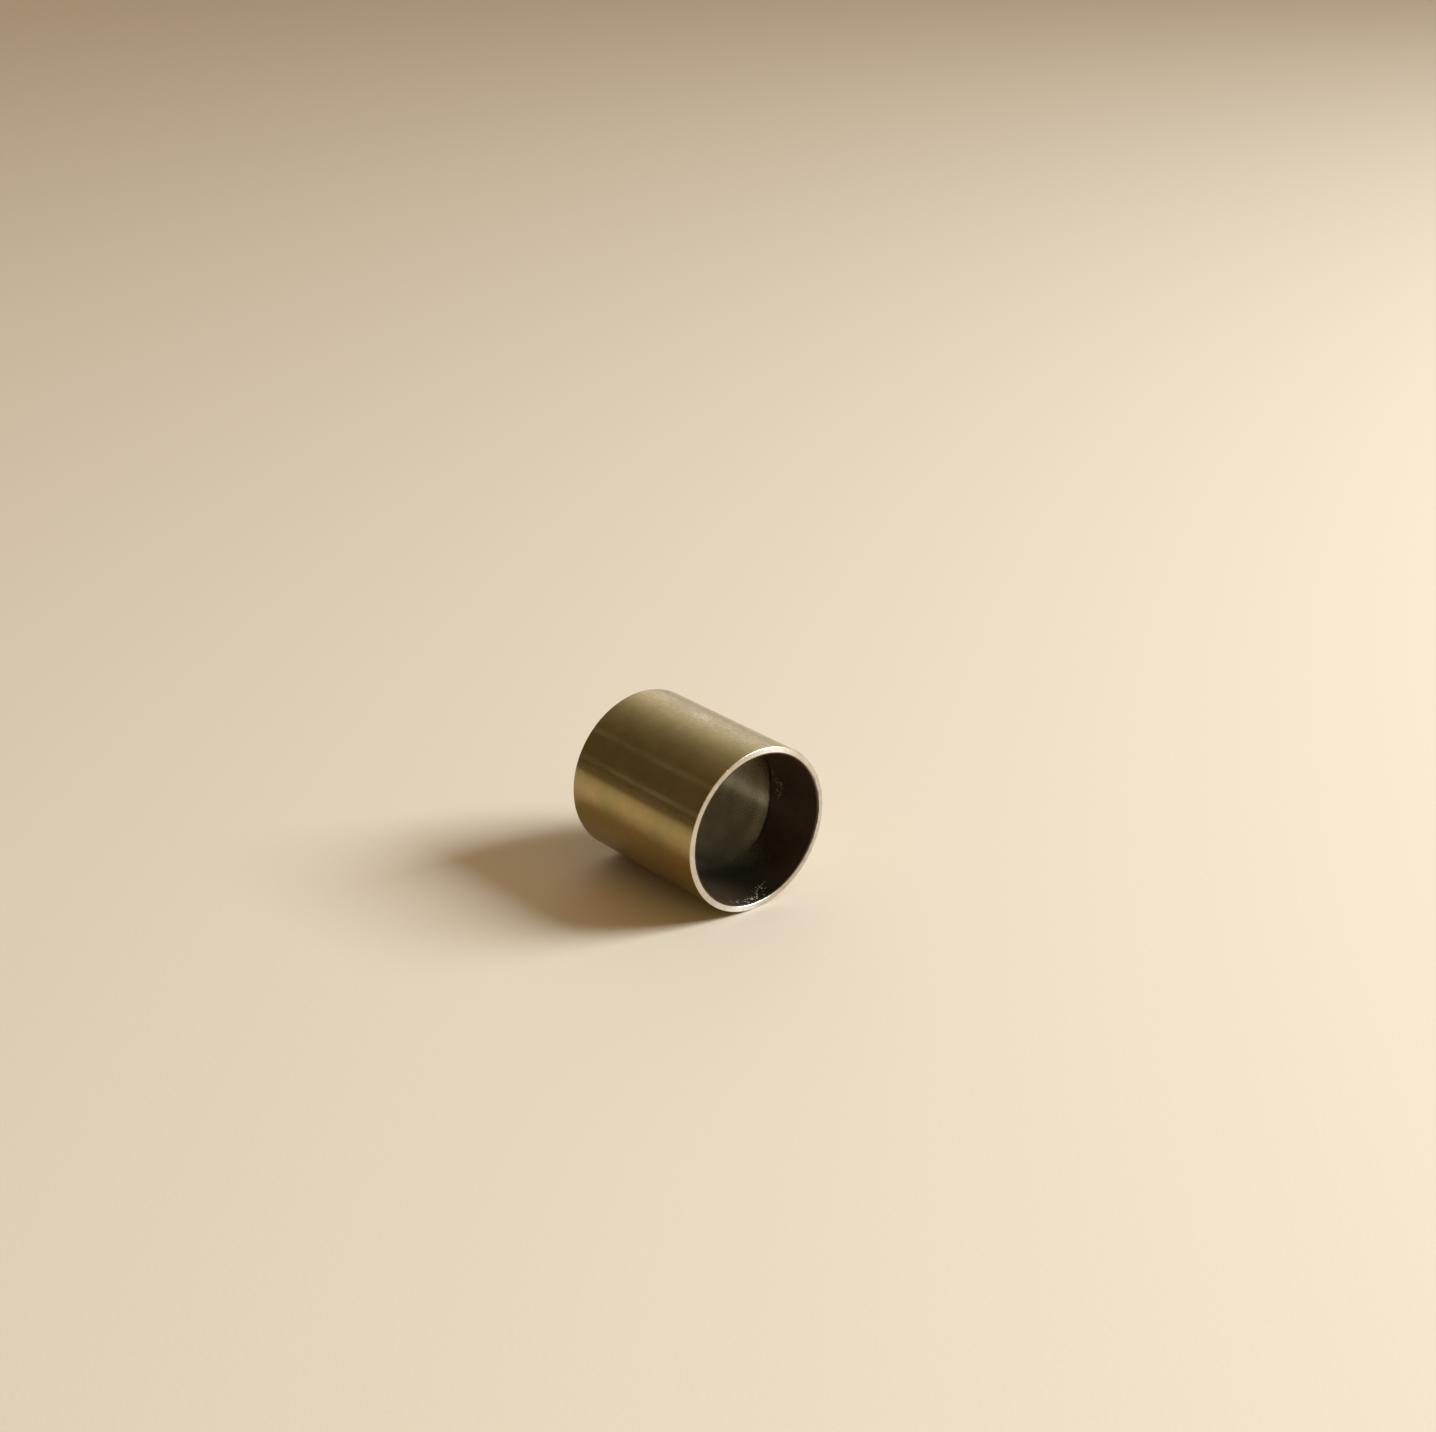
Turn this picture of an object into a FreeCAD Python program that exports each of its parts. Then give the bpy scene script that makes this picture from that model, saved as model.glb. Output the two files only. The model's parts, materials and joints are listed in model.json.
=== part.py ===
import FreeCAD, Part
import math
import os
import Sketcher

# A short, thin-walled guitar slide: a sleeve for one finger, which slides along the strings.
#
# Frame, in millimetres: the slide lies on its side, as it does on a table. Its axis is Y, +Z is
# up, and the origin is on the axis, halfway along. Both ends are open and alike.
#
# Pieces:
#   slide_tube    a length of metal tube, both ends faced square and their edges broken
#   bore_lining   a thin sleeve of blackened metal in the tube's bore, a hair short of both ends

# The driving dimensions: name, value, what it is.
DIMENSIONS = (
    ("outer_diameter", 22.2, "7/8 inch tube"),
    ("tube_wall", 0.8, "1/32 inch wall"),
    ("slide_length", 23.8, "15/16 inch from end face to end face"),
    ("edge_round", 0.15, "radius on the two outer end edges"),
    ("bore_break", 0.05, "chamfer on the two inner end edges"),
    ("lining_thickness", 0.2, "lining of the bore"),
    ("lining_setback", 0.05, "how far the lining's ends lie inside the end faces"),
    ("lining_bevel", 0.05, "chamfer on the lining's two inner edges"),
)

VOLUME_TOLERANCE = 1e-3
SAME_LENGTH = 1e-6


def add_sheet(doc):
    """The driving dimensions, one row each, with the value's cell named by its alias."""
    sheet = doc.addObject("Spreadsheet::Sheet", "sizes")
    for row, (alias, value, meaning) in enumerate(DIMENSIONS, start=1):
        sheet.set(f"A{row}", alias)
        sheet.set(f"B{row}", str(value))
        sheet.set(f"C{row}", meaning)
        sheet.setAlias(f"B{row}", alias)
    doc.recompute()
    return sheet


def origin_plane(body, role):
    """One of the body's own three origin planes."""
    return next(p for p in body.Origin.OriginFeatures if p.Role == role)


def add_ring_sketch(body, outer_radius, inner_radius):
    """Two circles about the axis, in the plane halfway along. Both radii are expressions."""
    sketch = body.newObject("Sketcher::SketchObject", f"{body.Name}_section")
    sketch.AttachmentSupport = [(origin_plane(body, "XZ_Plane"), "")]
    sketch.MapMode = "FlatFace"
    centre = FreeCAD.Vector(0, 0, 0)
    normal = FreeCAD.Vector(0, 0, 1)
    for name, start_radius, size in (
        ("outer_radius", 2.0, outer_radius),
        ("inner_radius", 1.0, inner_radius),
    ):
        circle = sketch.addGeometry(Part.Circle(centre, normal, start_radius), False)
        sketch.addConstraint(Sketcher.Constraint("Coincident", circle, 3, -1, 1))
        radius = sketch.addConstraint(Sketcher.Constraint("Radius", circle, start_radius))
        sketch.renameConstraint(radius, name)
        sketch.setExpression(f"Constraints.{name}", size)
    return sketch


def add_cut_length(body, sketch, length):
    """The ring drawn out along the axis, half of it to each side of the origin."""
    pad = body.newObject("PartDesign::Pad", f"{body.Name}_length")
    pad.Profile = sketch
    pad.SideType = "Symmetric"
    pad.setExpression("Length", length)
    body.Document.recompute()
    return pad


def end_edges(feature, radius):
    """The names of a feature's round end edges of this radius: one at each end."""
    names = []
    for index, edge in enumerate(feature.Shape.Edges, start=1):
        if isinstance(edge.Curve, Part.Circle) and abs(edge.Curve.Radius - radius) < SAME_LENGTH:
            names.append(f"Edge{index}")
    if len(names) != 2:
        raise RuntimeError(f"{feature.Name} has {len(names)} end edges of radius {radius}, not 2")
    return names


def add_slide_tube(doc, sizes):
    """Metal tube cut to length. The outer end edges are rounded and the bore's are chamfered."""
    body = doc.addObject("PartDesign::Body", "slide_tube")
    body.Label = "slide_tube"
    section = add_ring_sketch(
        body,
        "sizes.outer_diameter / 2",
        "sizes.outer_diameter / 2 - sizes.tube_wall",
    )
    tube = add_cut_length(body, section, "sizes.slide_length")

    rounded = body.newObject("PartDesign::Fillet", "tube_outer_edges")
    rounded.Base = (tube, end_edges(tube, sizes.outer_diameter / 2))
    rounded.setExpression("Radius", "sizes.edge_round")
    doc.recompute()

    bore_radius = sizes.outer_diameter / 2 - sizes.tube_wall
    broken = body.newObject("PartDesign::Chamfer", "tube_bore_edges")
    broken.Base = (rounded, end_edges(rounded, bore_radius))
    broken.setExpression("Size", "sizes.bore_break")
    doc.recompute()
    return body


def add_bore_lining(doc, sizes):
    """Thin sleeve against the tube's bore, with its inner end edges bevelled."""
    body = doc.addObject("PartDesign::Body", "bore_lining")
    body.Label = "bore_lining"
    section = add_ring_sketch(
        body,
        "sizes.outer_diameter / 2 - sizes.tube_wall",
        "sizes.outer_diameter / 2 - sizes.tube_wall - sizes.lining_thickness",
    )
    length = "sizes.slide_length - 2 * sizes.lining_setback"
    sleeve = add_cut_length(body, section, length)

    bore_radius = sizes.outer_diameter / 2 - sizes.tube_wall - sizes.lining_thickness
    bevelled = body.newObject("PartDesign::Chamfer", "lining_inner_edges")
    bevelled.Base = (sleeve, end_edges(sleeve, bore_radius))
    bevelled.setExpression("Size", "sizes.lining_bevel")
    doc.recompute()
    return body


def ring_volume(outer_radius, inner_radius, length):
    return math.pi * (outer_radius**2 - inner_radius**2) * length


def chamfer_volume(edge_radius, size):
    """What a 45 degree chamfer takes off the inner edge of a ring: a small turned triangle."""
    return 2 * math.pi * (edge_radius + size / 3) * size**2 / 2


def round_volume(edge_radius, round_radius):
    """What a quarter round takes off the outer edge of a ring: a square less a quarter disc."""
    square = round_radius**2 * (edge_radius - round_radius / 2)
    disc_area = math.pi * round_radius**2 / 4
    disc_centre = edge_radius - round_radius + 4 * round_radius / (3 * math.pi)
    return 2 * math.pi * (square - disc_area * disc_centre)


def expected_volumes(sizes):
    """Each piece's volume from the dimensions alone, to compare with its solid."""
    outside = sizes.outer_diameter / 2
    wall_inside = outside - sizes.tube_wall
    lining_inside = wall_inside - sizes.lining_thickness
    tube = ring_volume(outside, wall_inside, sizes.slide_length)
    tube -= 2 * round_volume(outside, sizes.edge_round)
    tube -= 2 * chamfer_volume(wall_inside, sizes.bore_break)
    lining_length = sizes.slide_length - 2 * sizes.lining_setback
    lining = ring_volume(wall_inside, lining_inside, lining_length)
    lining -= 2 * chamfer_volume(lining_inside, sizes.lining_bevel)
    return {"slide_tube": tube, "bore_lining": lining}


def check(doc, pieces, sizes):
    """Stops unless every feature was made and every piece is one sound solid of the right volume."""
    for item in doc.Objects:
        if {"Invalid", "Error"} & set(item.State):
            raise RuntimeError(f"{item.Name} was not made: {item.State}")
    volumes = expected_volumes(sizes)
    for piece in pieces:
        shape = piece.Shape
        if shape.isNull() or not shape.isValid() or len(shape.Solids) != 1:
            raise RuntimeError(f"{piece.Label} is not one sound solid")
        wanted = volumes[piece.Label]
        if abs(shape.Volume - wanted) > VOLUME_TOLERANCE * wanted:
            raise RuntimeError(f"{piece.Label} has {shape.Volume} mm3, not {wanted}")
    shared = pieces[0].Shape.common(pieces[1].Shape)
    if shared.Volume > VOLUME_TOLERANCE:
        raise RuntimeError(f"the lining and the tube overlap by {shared.Volume} mm3")


def main():
    doc = FreeCAD.newDocument("guitar_slide")
    sizes = add_sheet(doc)
    pieces = [add_slide_tube(doc, sizes), add_bore_lining(doc, sizes)]
    for piece in pieces:
        piece.Placement = FreeCAD.Placement()
    doc.recompute()
    check(doc, pieces, sizes)

    os.makedirs("parts", exist_ok=True)
    for piece in pieces:
        piece.Shape.exportStep(f"parts/{piece.Label}.step")
        box = piece.Shape.optimalBoundingBox()
        size = f"{box.XLength:.2f} x {box.YLength:.2f} x {box.ZLength:.2f} mm"
        print(f"{piece.Label}: {size}, {piece.Shape.Volume:.1f} mm3")


main()
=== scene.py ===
import json
import math
import random

import bpy
import numpy as np
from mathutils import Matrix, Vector, noise


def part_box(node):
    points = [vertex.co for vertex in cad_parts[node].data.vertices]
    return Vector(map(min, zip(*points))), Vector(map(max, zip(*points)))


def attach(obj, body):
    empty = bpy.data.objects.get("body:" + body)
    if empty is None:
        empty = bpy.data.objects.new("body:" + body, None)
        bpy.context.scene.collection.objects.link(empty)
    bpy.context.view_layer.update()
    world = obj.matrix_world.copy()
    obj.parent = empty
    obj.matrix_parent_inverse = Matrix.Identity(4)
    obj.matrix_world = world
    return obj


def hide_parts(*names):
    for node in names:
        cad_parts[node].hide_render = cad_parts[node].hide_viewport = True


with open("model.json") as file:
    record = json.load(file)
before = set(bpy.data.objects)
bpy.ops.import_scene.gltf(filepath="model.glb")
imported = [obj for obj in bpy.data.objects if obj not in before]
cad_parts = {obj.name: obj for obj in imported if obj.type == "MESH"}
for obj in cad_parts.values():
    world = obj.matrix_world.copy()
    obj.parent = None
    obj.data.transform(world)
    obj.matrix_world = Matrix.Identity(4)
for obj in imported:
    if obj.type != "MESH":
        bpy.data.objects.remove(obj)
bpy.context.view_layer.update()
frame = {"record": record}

# ---------------------------------------------------------------- sizes, in metres, from the frame
# The slide lies along Y with its open front end at -Y. Angles run about Y, from +X up to +Z.

MM = 0.001
TUBE_LOW, TUBE_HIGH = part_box("slide_tube")
LINING_LOW, LINING_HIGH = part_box("bore_lining")
OUTER_R = min(TUBE_HIGH.x, -TUBE_LOW.x)     # the CAD mesh has facets, so its two sides differ a little
HALF_LENGTH = TUBE_HIGH.y
WALL_IN_R = (LINING_HIGH.x - LINING_LOW.x) / 2
LINING_HALF = LINING_HIGH.y
BORE_R = next(m for m in frame["record"]["mounts"] if m["name"] == "finger_bore")["dims"]["r_mm"] * MM
EDGE = 0.15 * MM                  # the round on the outer edges
BREAK = 0.05 * MM                 # the bevels at the bore
LINING_END = LINING_HALF - BREAK  # where the lining's bevel starts
CRISP = 0.01 * MM                 # the round left on an edge that looks sharp
BARE_R = OUTER_R - 0.15 * EDGE    # the end's bare metal reaches this far out over the edge round
FLOOR_Z = TUBE_LOW.z


# ---------------------------------------------------------------- node helpers

class Nodes:
    """A node tree, with short calls to add and join nodes."""

    def __init__(self, owner):
        owner.use_nodes = True
        self.owner = owner
        self.tree = owner.node_tree
        self.shader = self.tree.nodes.get("Principled BSDF")

    def add(self, kind, **settings):
        node = self.tree.nodes.new(kind)
        for key, value in settings.items():
            setattr(node, key, value)
        return node

    def feed(self, socket, item):
        """Set a socket to a number or colour, or link it to another socket."""
        if isinstance(item, bpy.types.NodeSocket):
            self.tree.links.new(item, socket)
        elif isinstance(item, tuple) and len(item) == 3 and socket.type == "RGBA":
            socket.default_value = (*item, 1.0)
        else:
            socket.default_value = item

    def shade(self, **values):
        """Feed the shader's sockets. An underscore stands for a space in a socket's name."""
        for name, item in values.items():
            self.feed(self.shader.inputs[name.replace("_", " ")], item)

    def place(self):
        """Object coordinates, in millimetres."""
        return self.vector("SCALE", self.add("ShaderNodeTexCoord").outputs["Object"], scale=1 / MM)

    def vector(self, operation, a, b=None, scale=None):
        node = self.add("ShaderNodeVectorMath", operation=operation)
        self.feed(node.inputs[0], a)
        if b is not None:
            self.feed(node.inputs[1], b)
        if scale is not None:
            node.inputs["Scale"].default_value = scale
        return node.outputs["Value"] if operation == "DOT_PRODUCT" else node.outputs["Vector"]

    def math(self, operation, a, b=None):
        node = self.add("ShaderNodeMath", operation=operation)
        self.feed(node.inputs[0], a)
        if b is not None:
            self.feed(node.inputs[1], b)
        return node.outputs[0]

    def product(self, *items):
        result = items[0]
        for item in items[1:]:
            result = self.math("MULTIPLY", result, item)
        return result

    def split(self, vector):
        node = self.add("ShaderNodeSeparateXYZ")
        self.feed(node.inputs[0], vector)
        return node.outputs

    def round_place(self, vector):
        """Degrees about Y, from +X up to +Z, and the distance from the Y axis."""
        x, _, z = self.split(vector)
        degrees = self.math("MULTIPLY", self.math("ARCTAN2", z, x), math.degrees(1))
        radius = self.math("SQRT", self.math("ADD", self.product(x, x), self.product(z, z)))
        return degrees, radius

    def noise(self, vector, scale, detail=2.0, rough=0.5, distort=0.0):
        node = self.add("ShaderNodeTexNoise")
        self.feed(node.inputs["Vector"], vector)
        node.inputs["Scale"].default_value = scale
        node.inputs["Detail"].default_value = detail
        node.inputs["Roughness"].default_value = rough
        node.inputs["Distortion"].default_value = distort
        return node.outputs["Fac"]

    def ramp(self, value, low, high, out_low=0.0, out_high=1.0, smooth=False):
        """Value, mapped from low..high to out_low..out_high and held there."""
        node = self.add("ShaderNodeMapRange", clamp=True)
        node.interpolation_type = "SMOOTHSTEP" if smooth else "LINEAR"
        self.feed(node.inputs["Value"], value)
        node.inputs["From Min"].default_value = low
        node.inputs["From Max"].default_value = high
        node.inputs["To Min"].default_value = out_low
        node.inputs["To Max"].default_value = out_high
        return node.outputs["Result"]

    def band(self, value, centre, half_width):
        """1 at the centre, falling smoothly to 0 at half_width to either side."""
        away = self.math("ABSOLUTE", self.math("SUBTRACT", value, centre))
        return self.ramp(away, 0.0, half_width, 1.0, 0.0, smooth=True)

    def mix(self, factor, a, b):
        """Colour a where factor is 0 and b where it is 1."""
        node = self.add("ShaderNodeMix", data_type="RGBA")
        self.feed(node.inputs["Factor"], factor)
        self.feed(node.inputs[6], a)
        self.feed(node.inputs[7], b)
        return node.outputs[2]

    def blend(self, factor, a, b):
        """Number a where factor is 0 and b where it is 1."""
        node = self.add("ShaderNodeMix", data_type="FLOAT")
        self.feed(node.inputs["Factor"], factor)
        self.feed(node.inputs[2], a)
        self.feed(node.inputs[3], b)
        return node.outputs[0]

    def bump(self, height, distance, strength=1.0, normal=None):
        node = self.add("ShaderNodeBump")
        self.feed(node.inputs["Height"], height)
        node.inputs["Distance"].default_value = distance
        node.inputs["Strength"].default_value = strength
        if normal is not None:
            self.feed(node.inputs["Normal"], normal)
        return node.outputs["Normal"]


# ---------------------------------------------------------------- materials

def aged_brass():
    """The wall: drawn tube gone olive-gold, with rubbed specks, and painted light: pale reflection
    stripes along it, a sheen on the top, a dark band above the floor's reflection, and shade on the
    underside.
    """
    material = bpy.data.materials.new("aged_brass")
    m = Nodes(material)
    place = m.place()
    degrees, _ = m.round_place(place)
    along = m.split(place)[1]

    mottle = m.noise(place, 0.22, detail=4.0, rough=0.6)
    cloud = m.noise(place, 1.1, detail=3.0)
    grain = m.noise(m.vector("MULTIPLY", place, (1.0, 0.06, 1.0)), 7.0, detail=3.0, rough=0.6)
    olive, gold = (0.355, 0.295, 0.115), (0.44, 0.335, 0.15)
    dull, pale = (0.30, 0.24, 0.105), (0.50, 0.41, 0.21)
    colour = m.mix(m.ramp(mottle, 0.35, 0.65), olive, gold)
    colour = m.mix(m.ramp(cloud, 0.4, 0.8, 0.0, 0.35), colour, dull)
    colour = m.mix(m.ramp(grain, 0.35, 0.75, 0.0, 0.09), colour, pale)

    painted_shade_brown, horizon_shade_dark = (0.20, 0.11, 0.03), (0.22, 0.165, 0.06)
    # Painted shade: the underside toward the back end is darkened brown and made less metallic, where
    # the wall reflects the shadowed floor.
    underside_shade = m.product(m.band(degrees, -136.0, 32.0), m.ramp(along, -5.0, 8.0, 0.0, 1.0))
    colour = m.mix(underside_shade, colour, painted_shade_brown)
    # Painted shade: a dark band along the tube just above the bright reflection of the floor.
    colour = m.mix(m.product(m.band(degrees, 160.5, 3.2), 0.45), colour, horizon_shade_dark)

    reflection_pale, sheen_pale, rubbed = (0.60, 0.56, 0.37), (0.66, 0.59, 0.44), (0.78, 0.72, 0.56)
    fade = m.ramp(m.noise(m.vector("MULTIPLY", place, (1.0, 0.25, 1.0)), 0.5), 0.3, 0.6, 0.3, 1.0)
    # Painted reflections: two pale stripes along the upper left of the tube, broken up by noise and
    # made rougher.
    reflection_streaks = m.math("ADD", m.band(degrees, 133.0, 3.4), m.band(degrees, 152.5, 3.0))
    reflection_streaks = m.product(reflection_streaks, fade)
    colour = m.mix(m.product(reflection_streaks, 0.55), colour, reflection_pale)

    fine = m.noise(place, 4.5, detail=3.0, rough=0.7)
    patches = (
        m.product(m.band(degrees, 83.0, 14.0), m.band(along, 0.6, 4.6)),
        m.product(m.band(degrees, 84.0, 10.0), m.band(along, 8.6, 2.6), 0.7),
        m.product(m.band(degrees, 86.0, 9.0), m.band(along, -8.8, 1.8), 0.6),
    )
    worn = patches[0]
    for patch in patches[1:]:
        worn = m.math("MAXIMUM", worn, patch)
    specks = m.ramp(m.math("ADD", fine, m.product(worn, 0.24)), 0.70, 0.76)
    dabs = m.noise(m.vector("MULTIPLY", place, (1.0, 0.5, 1.0)), 2.6, detail=3.0, rough=0.7)
    dabs, clouds = m.ramp(dabs, 0.42, 0.62), m.ramp(cloud, 0.3, 0.6, 0.4, 1.0)
    # Painted sheen: the top is lightened in dabs and clouds, where the light falls on it.
    top_sheen = m.product(m.band(degrees, 70.0, 42.0), dabs, clouds)
    colour = m.mix(m.product(top_sheen, 0.55), colour, sheen_pale)
    colour = m.mix(specks, colour, rubbed)
    m.shade(Base_Color=colour, Metallic=m.ramp(underside_shade, 0.0, 1.0, 1.0, 0.35), Specular_IOR_Level=0.2)

    rough = m.ramp(grain, 0.3, 0.7, 0.20, 0.26)
    rough = m.blend(m.math("MAXIMUM", specks, m.product(reflection_streaks, 0.5)), rough, 0.45)
    normal = m.bump(m.math("ADD", grain, m.product(specks, 0.8)), 0.002 * MM)
    m.shade(Roughness=rough, Normal=normal)
    return material


def cut_metal():
    """The faced ends: bare metal with the tool's fine rings. Black creeps onto the bore's edge."""
    material = bpy.data.materials.new("cut_metal")
    m = Nodes(material)
    place = m.place()
    degrees, radius = m.round_place(place)
    across = m.add("ShaderNodeCombineXYZ")
    m.feed(across.inputs["X"], radius)
    rings = m.noise(across.outputs[0], 22.0, detail=2.0)
    cloud = m.noise(place, 1.2, detail=3.0)
    silver, bright, groove, black = (
        (0.69, 0.65, 0.575), (0.81, 0.765, 0.685), (0.54, 0.50, 0.43), (0.05, 0.035, 0.025))
    colour = m.mix(m.ramp(cloud, 0.35, 0.65), silver, bright)
    colour = m.mix(m.ramp(rings, 0.4, 0.7, 0.0, 0.3), colour, groove)
    bore_edge = WALL_IN_R / MM
    creep = m.math("ADD", radius, m.product(m.math("SUBTRACT", cloud, 0.5), 0.3))
    creep = m.ramp(creep, bore_edge + 0.12, bore_edge + 0.2, 1.0, 0.0)
    colour = m.mix(m.product(creep, m.band(degrees, -5.0, 60.0)), colour, black)
    tangent = m.add("ShaderNodeTangent", direction_type="RADIAL", axis="Y").outputs[0]
    m.shade(Base_Color=colour, Metallic=1.0, Tangent=tangent)
    m.shade(Anisotropic=0.8, Anisotropic_Rotation=0.28)
    m.shade(Roughness=m.ramp(rings, 0.3, 0.7, 0.38, 0.46), Normal=m.bump(rings, 0.003 * MM))
    return material


REFLECTION_START = -3.0             # y, in millimetres, of the line where the lining's painted grey reflection starts


def black_lining():
    """The lining: satin brown-black by the front mouth with painted shade round its lower right, a dim
    grey painted reflection past a sharp line, chips in it.
    """
    material = bpy.data.materials.new("black_lining")
    m = Nodes(material)
    place = m.place()
    degrees, radius = m.round_place(place)
    _, y, z = m.split(place)
    # The angle above the level, -90 to 90 on either side. Unlike degrees, it never jumps.
    slope = m.product(m.math("ARCSINE", m.math("DIVIDE", z, radius)), math.degrees(1))

    mottle = m.noise(place, 0.35, detail=4.0, rough=0.6)
    fine = m.noise(place, 3.0, detail=3.0)
    # Painted reflection: past a ragged line across the bore the lining turns a dim grey and metallic,
    # for what it reflects through the open back end. It fades along the top and stops short of the
    # bottom.
    edge = m.math("ADD", y, m.product(m.math("SUBTRACT", mottle, 0.5), 0.6))
    edge = m.math("ADD", edge, m.ramp(slope, -35.0, -5.0, 0.6, 0.0))
    past_edge = m.ramp(edge, REFLECTION_START, REFLECTION_START + 0.5, smooth=True)
    upper = m.ramp(slope, -60.0, -34.0, smooth=True)
    fading = m.ramp(y, -8.0, 4.0)
    off_bottom = m.ramp(slope, -88.0, -42.0, smooth=True)
    reflection_zone = m.product(m.blend(upper, fading, past_edge), off_bottom)

    umber, brown = (0.048, 0.029, 0.019), (0.056, 0.038, 0.024)
    painted_bore_shade, darkest = (0.011, 0.010, 0.004), (0.006, 0.005, 0.004)
    # Painted shade: a darker line along the edge of the painted reflection.
    dark_line = m.product(m.band(edge, REFLECTION_START - 0.05, 0.25), upper)
    black = m.mix(m.ramp(mottle, 0.4, 0.6), umber, brown)
    # Painted shade: the bore is darkened towards black round its bottom and lower right, away from the
    # light.
    black = m.mix(m.band(degrees, -76.0, 40.0), black, painted_bore_shade)
    black = m.mix(dark_line, black, darkest)

    dim, lighter, speckle = (0.25, 0.26, 0.205), (0.33, 0.32, 0.25), (0.20, 0.19, 0.15)
    paler, shade = (0.46, 0.44, 0.35), (0.05, 0.045, 0.035)
    # Painted reflection: a paler band just past that line.
    reflected_pale_band = m.product(m.band(edge, REFLECTION_START + 1.5, 1.5), 0.6)
    grey = m.mix(m.ramp(mottle, 0.35, 0.65), dim, lighter)
    grey = m.mix(m.ramp(fine, 0.5, 0.8, 0.0, 0.2), grey, speckle)
    grey = m.mix(reflected_pale_band, grey, paler)
    # Painted shade: the lower side of the painted reflection is darkened, where the shadowed floor
    # reflects.
    grey = m.mix(m.ramp(slope, -24.0, -6.0, 0.0, 0.45), grey, shade)
    colour = m.mix(reflection_zone, black, grey)
    # The metallic follows the painted reflection.
    metal = m.ramp(reflection_zone, 0.0, 0.12)

    # Where the skin is chipped the surface lies deeper. The bevels do too, and are left out.
    skin, end = BORE_R / MM, LINING_END / MM
    deep = m.ramp(radius, skin + 0.012, skin + 0.035)
    inside = m.ramp(m.math("ABSOLUTE", y), end - 0.05, end, 1.0, 0.0)
    chips = m.product(deep, inside)
    chipped = (0.43, 0.39, 0.32)
    colour = m.mix(chips, colour, chipped)
    m.shade(Base_Color=colour, Metallic=m.product(metal, m.math("SUBTRACT", 1.0, chips)))
    m.shade(Specular_IOR_Level=0.2, Specular_Tint=(0.9, 0.7, 0.5))
    rough = m.blend(metal, m.ramp(fine, 0.3, 0.7, 0.26, 0.36), m.ramp(fine, 0.3, 0.7, 0.22, 0.29))
    m.shade(Roughness=m.blend(chips, rough, 0.5), Normal=m.bump(fine, 0.003 * MM))
    return material


def pale_paper():
    """The floor."""
    material = bpy.data.materials.new("pale_paper")
    m = Nodes(material)
    fibre = m.noise(m.place(), 1.5, detail=4.0, rough=0.6)
    m.shade(Base_Color=(0.82, 0.76, 0.62), Roughness=0.8, Specular_IOR_Level=0.08)
    m.shade(Normal=m.bump(fibre, 0.03 * MM, strength=0.5))
    return material


# ---------------------------------------------------------------- geometry helpers

def rounded(corners, steps=6):
    """A closed outline whose corners (y, r, radius) become arcs, each of a few short edges."""
    outline = []
    count = len(corners)
    for i, (y, r, radius) in enumerate(corners):
        here = Vector((y, r))
        before = (Vector(corners[i - 1][:2]) - here).normalized()
        after = (Vector(corners[(i + 1) % count][:2]) - here).normalized()
        half = before.angle(after) / 2
        centre = here + (before + after).normalized() * radius / math.sin(half)
        start = here + before * radius / math.tan(half) - centre
        sweep = start.angle_signed(here + after * radius / math.tan(half) - centre)
        parts = steps if radius > CRISP else 2
        for k in range(parts + 1):
            turn = -sweep * k / parts
            outline.append((
                centre.x + start.x * math.cos(turn) - start.y * math.sin(turn),
                centre.y + start.x * math.sin(turn) + start.y * math.cos(turn),
            ))
    return outline


def divided(outline, cuts):
    """The outline with points added on its straight runs, where cuts(a, b) gives the fractions."""
    result = []
    for i, a in enumerate(outline):
        b = outline[(i + 1) % len(outline)]
        result.append(a)
        for t in cuts(a, b):
            result.append((a[0] + (b[0] - a[0]) * t, a[1] + (b[1] - a[1]) * t))
    return result


def even_angles(count):
    return [360.0 * k / count for k in range(count)]


def turned(name, outline, degrees, move=None):
    """A closed (y, r) outline turned about the Y axis. move(degrees, y, r) may shift a point."""
    count = len(outline)
    vertices = []
    for turn in degrees:
        across, height = math.cos(math.radians(turn)), math.sin(math.radians(turn))
        for y, r in outline:
            if move:
                y, r = move(turn, y, r)
            vertices.append((r * across, y, r * height))
    faces = []
    for k in range(len(degrees)):
        here, there = k * count, (k + 1) % len(degrees) * count
        for i in range(count):
            j = (i + 1) % count
            faces.append((here + i, there + i, there + j, here + j))
    mesh = bpy.data.meshes.new(name)
    mesh.from_pydata(vertices, [], faces)
    mesh.polygons.foreach_set("use_smooth", [True] * len(faces))
    mesh.update()
    piece = bpy.data.objects.new(name, mesh)
    bpy.context.scene.collection.objects.link(piece)
    return piece


def hand_in(piece, node):
    """Let the piece ride on the body and stand for its CAD node."""
    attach(piece, "root")
    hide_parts(node)


# ---------------------------------------------------------------- the tube

SUPPORT = 0.03 * MM           # how near a ring stands to the end of a run, to keep its shading flat
FACE_PITCH = 0.06 * MM        # between the mesh's rings on the end faces
RING_WAVE = 2.4               # radians of the facing tool's wave from one of those to the next
RING_DEPTH = 0.002 * MM       # half of the rings' depth
WALL_PITCH = 1.0 * MM
DRAW_DEPTH = 0.003 * MM       # the lines left by drawing the tube
DRAW_LINES = 14               # how fine they are round the tube
DRAW_RUN = 0.05               # how quickly they change along it, per millimetre
ON_END = 1e-9                 # nearer than this to the end's plane is on it


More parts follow.
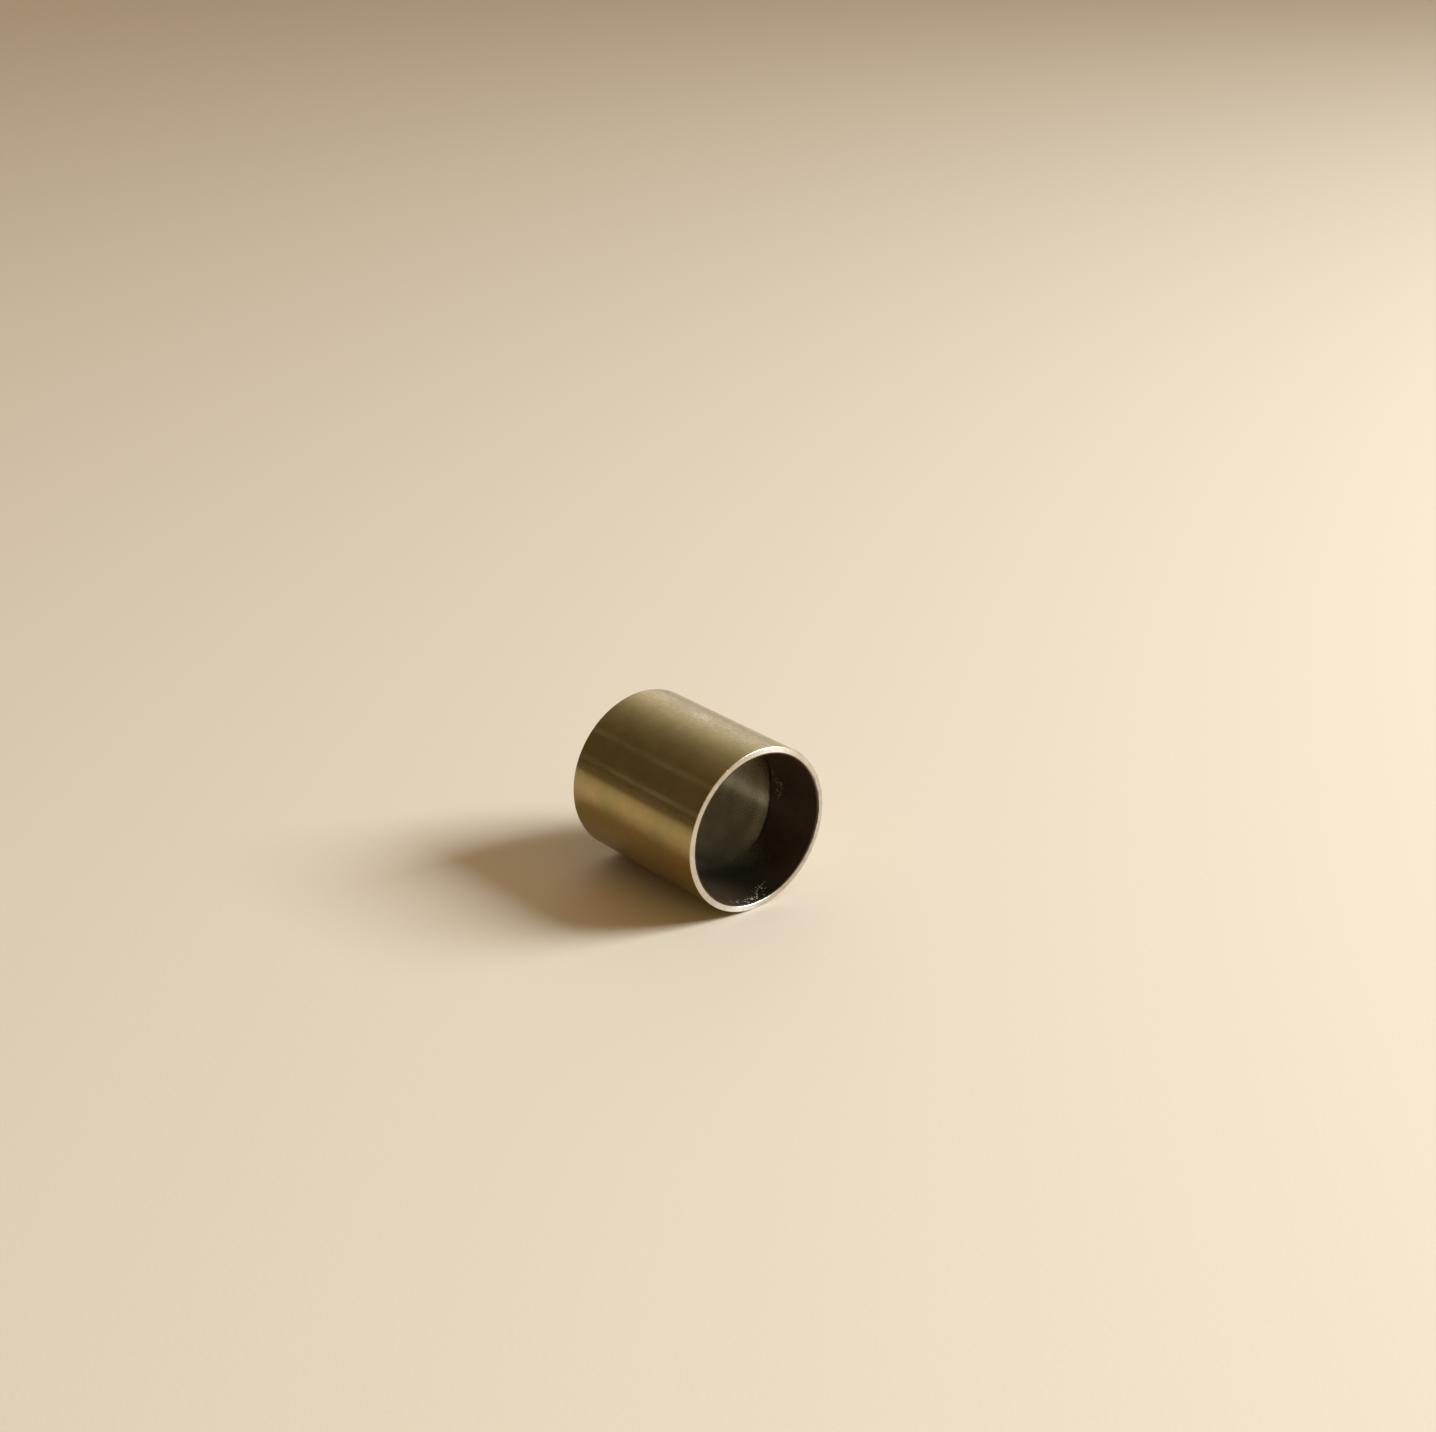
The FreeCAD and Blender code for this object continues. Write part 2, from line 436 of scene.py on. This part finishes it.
def tube_cuts(a, b):
    """Rings along the outer wall, and the tool's rings on the end faces."""
    length = math.dist(a, b)
    if length < 4 * SUPPORT:
        return []
    on_face = abs(a[0] - b[0]) < SUPPORT
    pitch = FACE_PITCH if on_face else WALL_PITCH
    parts = max(round(length / pitch), 1)
    if not on_face and min(a[1], b[1]) < OUTER_R - EDGE:
        parts = 1
    inner = [k / parts for k in range(1, parts)]
    return [SUPPORT / length] + inner + [1 - SUPPORT / length]


def make_dents(draw, per_end):
    """Small knocks on the outer edges: (end, degrees, half width in degrees, depth)."""
    dents = []
    for end in (-1, 1):
        for _ in range(per_end):
            degrees = draw.uniform(0, 360)
            half_width = draw.uniform(0.8, 3.0)
            dents.append((end, degrees, half_width, draw.uniform(0.01, 0.04) * MM))
    return dents


DENTS = make_dents(random.Random(7), per_end=9)
DENT_REACH = 0.35 * MM        # how far from the corner a knock is felt


def wall_shape(degrees, y, r):
    """Draw lines along the wall, tool rings on the end faces and knocks on the outer edges."""
    turn = math.radians(degrees)
    end = 1 if y > 0 else -1
    to_end = HALF_LENGTH - abs(y)
    if r > OUTER_R - CRISP:
        where = Vector((math.cos(turn) * DRAW_LINES, y / MM * DRAW_RUN, math.sin(turn) * DRAW_LINES))
        r -= (0.5 + 0.5 * noise.noise(where)) * DRAW_DEPTH
    if to_end < ON_END and WALL_IN_R + BREAK < r < OUTER_R - EDGE:
        y -= end * RING_DEPTH * (1 + math.sin(r / FACE_PITCH * RING_WAVE))
    corner = math.hypot(to_end, OUTER_R - r)
    if corner < DENT_REACH:
        for dent_end, centre, half_width, depth in DENTS:
            away = abs((degrees - centre + 180) % 360 - 180) / half_width
            if dent_end == end and away < 1:
                push = depth * (1 - away * away) ** 2 * (1 - corner / DENT_REACH)
                y -= end * push
                r -= push
    return y, r


def make_tube():
    """The wall, with the aged finish outside and bare metal on the ends and in the bore."""
    h = HALF_LENGTH
    bevel_r = WALL_IN_R + BREAK
    corners = [
        (-h, OUTER_R, EDGE), (h, OUTER_R, EDGE),
        (h, bevel_r, CRISP), (h - BREAK, WALL_IN_R, CRISP),
        (-h + BREAK, WALL_IN_R, CRISP), (-h, bevel_r, CRISP),
    ]
    outline = divided(rounded(corners), tube_cuts)
    piece = turned("tube_wall", outline, even_angles(720), wall_shape)
    bare = []
    for i, (y, r) in enumerate(outline):
        after = outline[(i + 1) % len(outline)]
        bare.append(1 if (r + after[1]) / 2 < BARE_R else 0)
    mesh = piece.data
    slots = [bare[i % len(bare)] for i in range(len(mesh.polygons))]
    mesh.polygons.foreach_set("material_index", slots)
    mesh.materials.append(aged_brass())
    mesh.materials.append(cut_metal())
    hand_in(piece, "slide_tube")


# ---------------------------------------------------------------- the lining

# Patches of small chips in the lining's skin: centre and half spread in degrees, centre and half
# spread in y in millimetres, number of chips, the largest chip in millimetres, and the depth, 0 to 1.
CHIP_PATCHES = (
    (-92.0, 8.0, -10.9, 0.5, 30, 0.22, 1.0),
    (-103.0, 10.0, -10.9, 0.5, 30, 0.17, 0.6),
    (-80.0, 6.0, -10.0, 0.7, 18, 0.16, 0.5),
    (1.0, 9.0, -4.3, 1.0, 10, 0.55, 0.29),
    (3.0, 8.0, -4.4, 1.0, 22, 0.26, 0.38),
    (-28.0, 11.0, -9.9, 0.4, 9, 0.22, 0.3),
)
# Scratches: degrees and y in millimetres of the start, then of the end.
SCRATCHES = ((-84.0, -10.3, -78.0, -9.7), (-78.0, -9.7, -70.0, -9.4))
SCRATCH_HALF_WIDTH = 0.05 * MM
SCRATCH_DEPTH = 0.42          # of CHIP_DEPTH
CHIP_DEPTH = 0.07 * MM
CHIP_SCALE = 1.5              # a chip is drawn this much smaller, before its edge is made ragged
RAGGED = 1.6                  # how far noise moves a chip's edge
STEEP = 2.5                   # how steeply a chip's sides fall
GRIT_ROUND = 50               # how fine that noise is round the bore
GRIT_ALONG = 5                # and along it, per millimetre


def graded(low, high, coarse, fine, spans):
    """Steps from low to high, fine within the spans and coarse elsewhere."""
    steps = [low]
    while steps[-1] < high - fine / 2:
        here = steps[-1] + fine / 2
        in_span = any(a <= here <= b for a, b in spans)
        next_span = min([a for a, _ in spans if a > here], default=high)
        step = fine if in_span else min(coarse, max(next_span - steps[-1], fine))
        steps.append(min(steps[-1] + step, high))
    return steps


def chip_map(degrees, rows):
    """The depth of the chips at each angle and row, 0 to 1."""
    draw = random.Random(21)
    arc = np.radians(np.array(degrees))[:, None]
    y = np.array(rows)[None, :]

    def grit(a, s):
        turn = math.radians(a)
        where = (math.cos(turn) * GRIT_ROUND, s / MM * GRIT_ALONG, math.sin(turn) * GRIT_ROUND)
        return noise.noise(Vector(where))

    rough = np.array([[grit(a, s) for s in rows] for a in degrees])
    depth = np.zeros(rough.shape)

    def press(u, v, deep):
        """Sink the skin where (u, v) is inside a ragged unit circle."""
        size = u * u + v * v + rough * RAGGED
        np.maximum(depth, np.clip((1 - size) * STEEP, 0, 1) * deep, out=depth)

    for centre, spread, middle, half, count, largest, deep in CHIP_PATCHES:
        for _ in range(count):
            turn = math.radians(centre + spread * draw.gauss(0, 0.6))
            row = (middle + half * draw.gauss(0, 0.6)) * MM
            wide = largest * draw.uniform(0.35, 1.0) * MM
            high = wide * draw.uniform(0.4, 1.0)
            lean = draw.uniform(-0.8, 0.8)
            across = ((arc - turn + math.pi) % (2 * math.pi) - math.pi) * BORE_R
            down = y - row
            u = (across * math.cos(lean) + down * math.sin(lean)) / wide
            v = (down * math.cos(lean) - across * math.sin(lean)) / high
            press(u * CHIP_SCALE, v * CHIP_SCALE, deep)
    for turn_a, y_a, turn_b, y_b in SCRATCHES:
        start = np.array((math.radians(turn_a) * BORE_R, y_a * MM))
        run = np.array((math.radians(turn_b) * BORE_R, y_b * MM)) - start
        length = np.linalg.norm(run)
        across = ((arc + math.pi) % (2 * math.pi) - math.pi) * BORE_R - start[0]
        down = y - start[1]
        travel = (across * run[0] + down * run[1]) / length
        off = (down * run[0] - across * run[1]) / length
        past_end = np.maximum(np.abs(travel - length / 2) - length / 2, 0)
        press(past_end / SCRATCH_HALF_WIDTH, off / SCRATCH_HALF_WIDTH, SCRATCH_DEPTH)
    return depth


def make_lining():
    """The sleeve, with a fine mesh where it has chips and a coarse one elsewhere."""
    h = LINING_HALF
    end = LINING_END / MM
    chipped_arcs = ((-120, -60), (-45, -12), (-12, 12))
    chipped_rows = ((-end, -8.8), (-6.4, -1.9))
    degrees = graded(-180.0, 180.0, 1.0, 0.35, chipped_arcs)[:-1]
    skin = [s * MM for s in graded(-end, end, 0.7, 0.07, chipped_rows)]
    depth = chip_map(degrees, skin)
    outline = [(-h, WALL_IN_R), (h, WALL_IN_R), (h, BORE_R + BREAK)]
    outline += [(s, BORE_R) for s in reversed(skin)]
    outline.append((-h, BORE_R + BREAK))
    row_of = {s: i for i, s in enumerate(skin)}
    turn_of = {a: i for i, a in enumerate(degrees)}

    def chipped(turn, y, r):
        if r == BORE_R:
            r += CHIP_DEPTH * depth[turn_of[turn], row_of[y]]
        return y, r

    piece = turned("lining_sleeve", outline, degrees, chipped)
    piece.data.materials.append(black_lining())
    hand_in(piece, "bore_lining")


# ---------------------------------------------------------------- stage

YAW = math.radians(40.39)         # how far the mouth points to the right of the line to the camera
CAMERA_PITCH = math.radians(24.08)
CAMERA_LENS = 57.07
CAMERA_RIGHT = 2.69 * MM
CAMERA_AWAY = -264.50 * MM        # on the near side, so negative
CAMERA_HEIGHT = 140.97 * MM


def from_camera_side(right, away, height):
    """A place in the frame from distances to the camera's right, away from it and above the floor."""
    x = right * math.cos(YAW) + away * math.sin(YAW)
    y = -right * math.sin(YAW) + away * math.cos(YAW)
    return Vector((x, y, height + FLOOR_Z))


def make_floor():
    bpy.ops.mesh.primitive_plane_add(size=6.0, location=(0, 0, FLOOR_Z))
    floor = bpy.context.object
    floor.name = "floor"
    floor.data.materials.append(pale_paper())


def make_camera():
    data = bpy.data.cameras.new("camera")
    data.sensor_width = 36.0
    data.lens = CAMERA_LENS
    data.clip_start = 0.01
    data.clip_end = 20.0
    camera = bpy.data.objects.new("camera", data)
    bpy.context.scene.collection.objects.link(camera)
    camera.location = from_camera_side(CAMERA_RIGHT, CAMERA_AWAY, CAMERA_HEIGHT)
    camera.rotation_euler = (math.radians(90) - CAMERA_PITCH, 0, -YAW)
    bpy.context.scene.camera = camera


def area_light(name, place, target, size, watts, colour):
    data = bpy.data.lights.new(name, "AREA")
    data.shape = "SQUARE"
    data.size = size
    data.energy = watts
    data.color = colour
    light = bpy.data.objects.new(name, data)
    light.location = place
    light.rotation_mode = "QUATERNION"
    light.rotation_quaternion = (target - place).to_track_quat("-Z", "Y")
    bpy.context.scene.collection.objects.link(light)


def make_key():
    """A soft light high on the right, tilted so that the far floor and the left fall off."""
    distance, high, back = 1.15, math.radians(33.2), math.radians(1.5)
    level = distance * math.cos(high)
    place = from_camera_side(level * math.cos(back), level * math.sin(back), distance * math.sin(high))
    aim = from_camera_side(0.68, -0.30, 0)
    area_light("key", place, aim, size=0.54, watts=20.2, colour=(0.97, 1.0, 1.05))


def make_room():
    """A dim warm room, lighter overhead and on the camera's side, with a pale glow behind the slide."""
    world = bpy.data.worlds.new("room")
    bpy.context.scene.world = world
    w = Nodes(world)
    direction = w.add("ShaderNodeTexCoord").outputs["Generated"]

    def lobe(right, away, height, sharpness):
        """1 towards a place seen from the slide, falling off to the sides."""
        towards = (from_camera_side(right, away, height) - Vector((0, 0, FLOOR_Z))).normalized()
        facing = w.vector("DOT_PRODUCT", direction, tuple(towards))
        return w.math("EXPONENT", w.product(w.math("SUBTRACT", facing, 1.0), sharpness))

    dim, warm = (0.135, 0.10, 0.06), (0.46, 0.285, 0.125)
    amber, glow = (0.56, 0.325, 0.11), (1.10, 1.02, 0.98)
    overhead = w.ramp(w.split(direction)[2], 0.72, 1.0, smooth=True)
    near_side = w.product(lobe(0.6, -0.6, 0.55, 2.5), 0.5)
    behind = lobe(0.03, 0.95, 0.31, 8.0)
    sky = w.mix(overhead, dim, warm)
    sky = w.mix(near_side, sky, amber)
    sky = w.mix(behind, sky, glow)
    w.feed(w.tree.nodes["Background"].inputs["Color"], sky)


make_camera()
make_key()
make_room()
make_floor()
make_tube()
make_lining()
bpy.context.scene.view_settings.view_transform = "Standard"
